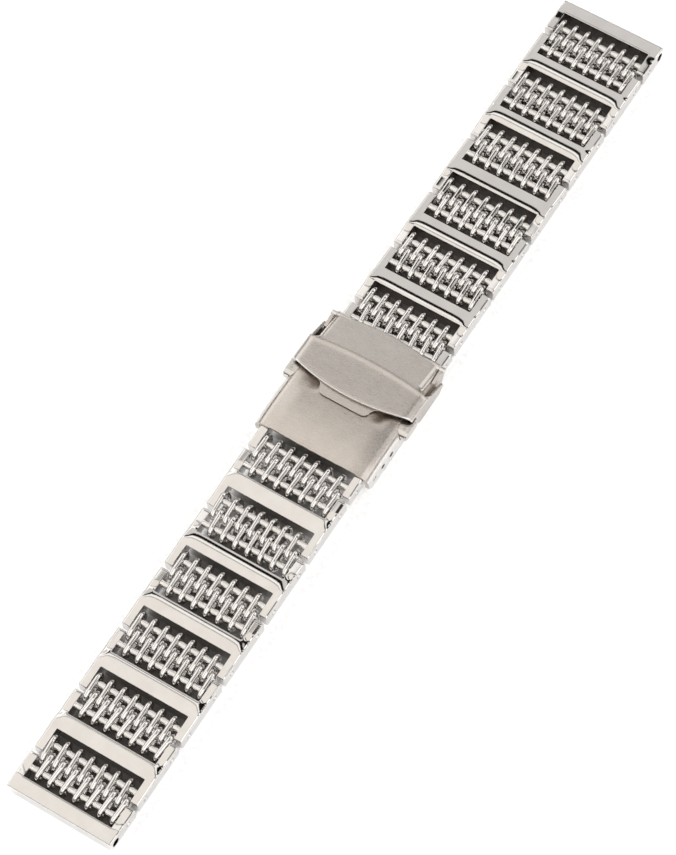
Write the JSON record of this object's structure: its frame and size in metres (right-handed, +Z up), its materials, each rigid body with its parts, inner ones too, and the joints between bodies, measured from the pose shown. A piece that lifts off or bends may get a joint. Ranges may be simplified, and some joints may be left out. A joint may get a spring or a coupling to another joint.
{
  "type": "mesh watch band",
  "caption": "Watch band of H-shaped links joined by oval-ring mesh, with a push-button fold-over clasp and bored ends for spring bars.",
  "frame": {"origin": "on the table, under the middle of the band as it lies straight with the clasp closed", "axes": "+Y along the band towards the end of the upper strap, +X across the band, +Z up, away from the wrist side"},
  "size_m": [0.0242, 0.1738, 0.006],
  "materials": {
    "polished_links": "polished stainless steel",
    "ring_wire": "polished stainless wire",
    "polished_pins": "polished stainless steel",
    "brushed_clasp": "satin, brushed across the band",
    "blade_steel": "satin sheet steel",
    "button_steel": "fine ribbed",
    "spring_wire": "drawn spring wire"
  },
  "bodies": {
    "cover": {"clasp_cover": "brushed_clasp", "cover_pins": "polished_pins", "button_springs": "spring_wire"},
    "safety_catch": {"safety_catch": "brushed_clasp"},
    "outer_blade": {"outer_blade": "blade_steel", "fold_pin": "polished_pins"},
    "inner_blade": {"inner_blade": "blade_steel", "upper_strap_pin": "polished_pins"},
    "push_button_left": {"push_button_left": "button_steel"},
    "push_button_right": {"push_button_right": "button_steel"},
    "upper_clasp_link": {"upper_clasp_link": "polished_links"},
    "upper_rings_1_near": {"upper_rings_1_near": "ring_wire", "upper_mesh_pin_1": "polished_pins"},
    "upper_rings_1_far": {"upper_rings_1_far": "ring_wire"},
    "upper_link_1": {"upper_link_1": "polished_links"},
    "upper_rings_2_near": {"upper_rings_2_near": "ring_wire", "upper_mesh_pin_2": "polished_pins"},
    "upper_rings_2_far": {"upper_rings_2_far": "ring_wire"},
    "upper_link_2": {"upper_link_2": "polished_links"},
    "upper_rings_3_near": {"upper_rings_3_near": "ring_wire", "upper_mesh_pin_3": "polished_pins"},
    "upper_rings_3_far": {"upper_rings_3_far": "ring_wire"},
    "upper_link_3": {"upper_link_3": "polished_links"},
    "upper_rings_4_near": {"upper_rings_4_near": "ring_wire", "upper_mesh_pin_4": "polished_pins"},
    "upper_rings_4_far": {"upper_rings_4_far": "ring_wire"},
    "upper_link_4": {"upper_link_4": "polished_links"},
    "upper_rings_5_near": {"upper_rings_5_near": "ring_wire", "upper_mesh_pin_5": "polished_pins"},
    "upper_rings_5_far": {"upper_rings_5_far": "ring_wire"},
    "upper_link_5": {"upper_link_5": "polished_links"},
    "upper_rings_6_near": {"upper_rings_6_near": "ring_wire", "upper_mesh_pin_6": "polished_pins"},
    "upper_rings_6_far": {"upper_rings_6_far": "ring_wire"},
    "upper_lug_link": {"upper_lug_link": "polished_links"},
    "lower_clasp_link": {"lower_clasp_link": "polished_links"},
    "lower_rings_1_near": {"lower_rings_1_near": "ring_wire", "lower_mesh_pin_1": "polished_pins"},
    "lower_rings_1_far": {"lower_rings_1_far": "ring_wire"},
    "lower_link_1": {"lower_link_1": "polished_links"},
    "lower_rings_2_near": {"lower_rings_2_near": "ring_wire", "lower_mesh_pin_2": "polished_pins"},
    "lower_rings_2_far": {"lower_rings_2_far": "ring_wire"},
    "lower_link_2": {"lower_link_2": "polished_links"},
    "lower_rings_3_near": {"lower_rings_3_near": "ring_wire", "lower_mesh_pin_3": "polished_pins"},
    "lower_rings_3_far": {"lower_rings_3_far": "ring_wire"},
    "lower_link_3": {"lower_link_3": "polished_links"},
    "lower_rings_4_near": {"lower_rings_4_near": "ring_wire", "lower_mesh_pin_4": "polished_pins"},
    "lower_rings_4_far": {"lower_rings_4_far": "ring_wire"},
    "lower_link_4": {"lower_link_4": "polished_links"},
    "lower_rings_5_near": {"lower_rings_5_near": "ring_wire", "lower_mesh_pin_5": "polished_pins"},
    "lower_rings_5_far": {"lower_rings_5_far": "ring_wire"},
    "lower_link_5": {"lower_link_5": "polished_links"},
    "lower_rings_6_near": {"lower_rings_6_near": "ring_wire", "lower_mesh_pin_6": "polished_pins"},
    "lower_rings_6_far": {"lower_rings_6_far": "ring_wire"},
    "lower_lug_link": {"lower_lug_link": "polished_links"}
  },
  "joints": [
    {"name": "safety_catch_fold", "type": "hinge", "parent": "cover", "child": "safety_catch", "pos_m": [0, 0.012, 0.00395], "axis": [-1, 0, 0], "range_deg": [0, 95]},
    {"name": "outer_blade_fold", "type": "hinge", "parent": "cover", "child": "outer_blade", "pos_m": [0, 0.0066, 0.0029], "axis": [1, 0, 0], "range_deg": [0, 160]},
    {"name": "inner_blade_fold", "type": "hinge", "parent": "outer_blade", "child": "inner_blade", "pos_m": [0, -0.007, 0.001], "axis": [1, 0, 0], "range_deg": [-160, 0]},
    {"name": "push_button_right_press", "type": "slide", "parent": "cover", "child": "push_button_right", "axis": [-1, 0, 0], "range_m": [0, 0.0007], "stiffness_N_per_m": 400, "deforming": ["button_springs"]},
    {"name": "push_button_left_press", "type": "slide", "parent": "cover", "child": "push_button_left", "axis": [1, 0, 0], "range_m": [0, 0.0007], "stiffness_N_per_m": 400},
    {"name": "upper_strap_swing", "type": "hinge", "parent": "inner_blade", "child": "upper_clasp_link", "pos_m": [0, 0.01026, 0.0015], "axis": [-1, 0, 0], "range_deg": [-3, 15]},
    {"name": "lower_strap_swing", "type": "hinge", "parent": "cover", "child": "lower_clasp_link", "pos_m": [0, -0.01026, 0.0023], "axis": [1, 0, 0], "range_deg": [-8, 12]},
    {"name": "upper_mesh_1_near_hinge", "type": "hinge", "parent": "upper_clasp_link", "child": "upper_rings_1_near", "pos_m": [0, 0.01404, 0.0015], "axis": [-1, 0, 0], "range_deg": [-8, 8]},
    {"name": "upper_mesh_1_middle_hinge", "type": "hinge", "parent": "upper_rings_1_near", "child": "upper_rings_1_far", "pos_m": [0, 0.01655, 0.0015], "axis": [-1, 0, 0], "range_deg": [-8, 8]},
    {"name": "upper_mesh_1_far_hinge", "type": "hinge", "parent": "upper_rings_1_far", "child": "upper_link_1", "pos_m": [0, 0.01906, 0.0015], "axis": [-1, 0, 0], "range_deg": [-8, 8]},
    {"name": "upper_mesh_2_near_hinge", "type": "hinge", "parent": "upper_link_1", "child": "upper_rings_2_near", "pos_m": [0, 0.02662, 0.0015], "axis": [-1, 0, 0], "range_deg": [-8, 8]},
    {"name": "upper_mesh_2_middle_hinge", "type": "hinge", "parent": "upper_rings_2_near", "child": "upper_rings_2_far", "pos_m": [0, 0.02913, 0.0015], "axis": [-1, 0, 0], "range_deg": [-8, 8]},
    {"name": "upper_mesh_2_far_hinge", "type": "hinge", "parent": "upper_rings_2_far", "child": "upper_link_2", "pos_m": [0, 0.03164, 0.0015], "axis": [-1, 0, 0], "range_deg": [-8, 8]},
    {"name": "upper_mesh_3_near_hinge", "type": "hinge", "parent": "upper_link_2", "child": "upper_rings_3_near", "pos_m": [0, 0.0392, 0.0015], "axis": [-1, 0, 0], "range_deg": [-8, 8]},
    {"name": "upper_mesh_3_middle_hinge", "type": "hinge", "parent": "upper_rings_3_near", "child": "upper_rings_3_far", "pos_m": [0, 0.04171, 0.0015], "axis": [-1, 0, 0], "range_deg": [-8, 8]},
    {"name": "upper_mesh_3_far_hinge", "type": "hinge", "parent": "upper_rings_3_far", "child": "upper_link_3", "pos_m": [0, 0.04422, 0.0015], "axis": [-1, 0, 0], "range_deg": [-8, 8]},
    {"name": "upper_mesh_4_near_hinge", "type": "hinge", "parent": "upper_link_3", "child": "upper_rings_4_near", "pos_m": [0, 0.05178, 0.0015], "axis": [-1, 0, 0], "range_deg": [-8, 8]},
    {"name": "upper_mesh_4_middle_hinge", "type": "hinge", "parent": "upper_rings_4_near", "child": "upper_rings_4_far", "pos_m": [0, 0.05429, 0.0015], "axis": [-1, 0, 0], "range_deg": [-8, 8]},
    {"name": "upper_mesh_4_far_hinge", "type": "hinge", "parent": "upper_rings_4_far", "child": "upper_link_4", "pos_m": [0, 0.0568, 0.0015], "axis": [-1, 0, 0], "range_deg": [-8, 8]},
    {"name": "upper_mesh_5_near_hinge", "type": "hinge", "parent": "upper_link_4", "child": "upper_rings_5_near", "pos_m": [0, 0.06436, 0.0015], "axis": [-1, 0, 0], "range_deg": [-8, 8]},
    {"name": "upper_mesh_5_middle_hinge", "type": "hinge", "parent": "upper_rings_5_near", "child": "upper_rings_5_far", "pos_m": [0, 0.06687, 0.0015], "axis": [-1, 0, 0], "range_deg": [-8, 8]},
    {"name": "upper_mesh_5_far_hinge", "type": "hinge", "parent": "upper_rings_5_far", "child": "upper_link_5", "pos_m": [0, 0.06938, 0.0015], "axis": [-1, 0, 0], "range_deg": [-8, 8]},
    {"name": "upper_mesh_6_near_hinge", "type": "hinge", "parent": "upper_link_5", "child": "upper_rings_6_near", "pos_m": [0, 0.07694, 0.0015], "axis": [-1, 0, 0], "range_deg": [-8, 8]},
    {"name": "upper_mesh_6_middle_hinge", "type": "hinge", "parent": "upper_rings_6_near", "child": "upper_rings_6_far", "pos_m": [0, 0.07945, 0.0015], "axis": [-1, 0, 0], "range_deg": [-8, 8]},
    {"name": "upper_mesh_6_far_hinge", "type": "hinge", "parent": "upper_rings_6_far", "child": "upper_lug_link", "pos_m": [0, 0.08196, 0.0015], "axis": [-1, 0, 0], "range_deg": [-8, 8]},
    {"name": "lower_mesh_1_near_hinge", "type": "hinge", "parent": "lower_clasp_link", "child": "lower_rings_1_near", "pos_m": [0, -0.01404, 0.00226], "axis": [1, 0, 0], "range_deg": [-8, 8]},
    {"name": "lower_mesh_1_middle_hinge", "type": "hinge", "parent": "lower_rings_1_near", "child": "lower_rings_1_far", "pos_m": [0, -0.01655, 0.00223], "axis": [1, 0, 0], "range_deg": [-8, 8]},
    {"name": "lower_mesh_1_far_hinge", "type": "hinge", "parent": "lower_rings_1_far", "child": "lower_link_1", "pos_m": [0, -0.01906, 0.00221], "axis": [1, 0, 0], "range_deg": [-8, 8]},
    {"name": "lower_mesh_2_near_hinge", "type": "hinge", "parent": "lower_link_1", "child": "lower_rings_2_near", "pos_m": [0, -0.02662, 0.00213], "axis": [1, 0, 0], "range_deg": [-8, 8]},
    {"name": "lower_mesh_2_middle_hinge", "type": "hinge", "parent": "lower_rings_2_near", "child": "lower_rings_2_far", "pos_m": [0, -0.02913, 0.0021], "axis": [1, 0, 0], "range_deg": [-8, 8]},
    {"name": "lower_mesh_2_far_hinge", "type": "hinge", "parent": "lower_rings_2_far", "child": "lower_link_2", "pos_m": [0, -0.03164, 0.00208], "axis": [1, 0, 0], "range_deg": [-8, 8]},
    {"name": "lower_mesh_3_near_hinge", "type": "hinge", "parent": "lower_link_2", "child": "lower_rings_3_near", "pos_m": [0, -0.0392, 0.002], "axis": [1, 0, 0], "range_deg": [-8, 8]},
    {"name": "lower_mesh_3_middle_hinge", "type": "hinge", "parent": "lower_rings_3_near", "child": "lower_rings_3_far", "pos_m": [0, -0.04171, 0.00197], "axis": [1, 0, 0], "range_deg": [-8, 8]},
    {"name": "lower_mesh_3_far_hinge", "type": "hinge", "parent": "lower_rings_3_far", "child": "lower_link_3", "pos_m": [0, -0.04422, 0.00194], "axis": [1, 0, 0], "range_deg": [-8, 8]},
    {"name": "lower_mesh_4_near_hinge", "type": "hinge", "parent": "lower_link_3", "child": "lower_rings_4_near", "pos_m": [0, -0.05178, 0.00187], "axis": [1, 0, 0], "range_deg": [-8, 8]},
    {"name": "lower_mesh_4_middle_hinge", "type": "hinge", "parent": "lower_rings_4_near", "child": "lower_rings_4_far", "pos_m": [0, -0.05429, 0.00184], "axis": [1, 0, 0], "range_deg": [-8, 8]},
    {"name": "lower_mesh_4_far_hinge", "type": "hinge", "parent": "lower_rings_4_far", "child": "lower_link_4", "pos_m": [0, -0.0568, 0.00181], "axis": [1, 0, 0], "range_deg": [-8, 8]},
    {"name": "lower_mesh_5_near_hinge", "type": "hinge", "parent": "lower_link_4", "child": "lower_rings_5_near", "pos_m": [0, -0.06436, 0.00173], "axis": [1, 0, 0], "range_deg": [-8, 8]},
    {"name": "lower_mesh_5_middle_hinge", "type": "hinge", "parent": "lower_rings_5_near", "child": "lower_rings_5_far", "pos_m": [0, -0.06687, 0.00171], "axis": [1, 0, 0], "range_deg": [-8, 8]},
    {"name": "lower_mesh_5_far_hinge", "type": "hinge", "parent": "lower_rings_5_far", "child": "lower_link_5", "pos_m": [0, -0.06938, 0.00168], "axis": [1, 0, 0], "range_deg": [-8, 8]},
    {"name": "lower_mesh_6_near_hinge", "type": "hinge", "parent": "lower_link_5", "child": "lower_rings_6_near", "pos_m": [0, -0.07694, 0.0016], "axis": [1, 0, 0], "range_deg": [-8, 8]},
    {"name": "lower_mesh_6_middle_hinge", "type": "hinge", "parent": "lower_rings_6_near", "child": "lower_rings_6_far", "pos_m": [0, -0.07945, 0.00158], "axis": [1, 0, 0], "range_deg": [-8, 8]},
    {"name": "lower_mesh_6_far_hinge", "type": "hinge", "parent": "lower_rings_6_far", "child": "lower_lug_link", "pos_m": [0, -0.08196, 0.00155], "axis": [1, 0, 0], "range_deg": [-8, 8]}
  ],
  "couplings": [
    {"joint": "inner_blade_fold", "follows": "outer_blade_fold", "ratio": -1}
  ]
}
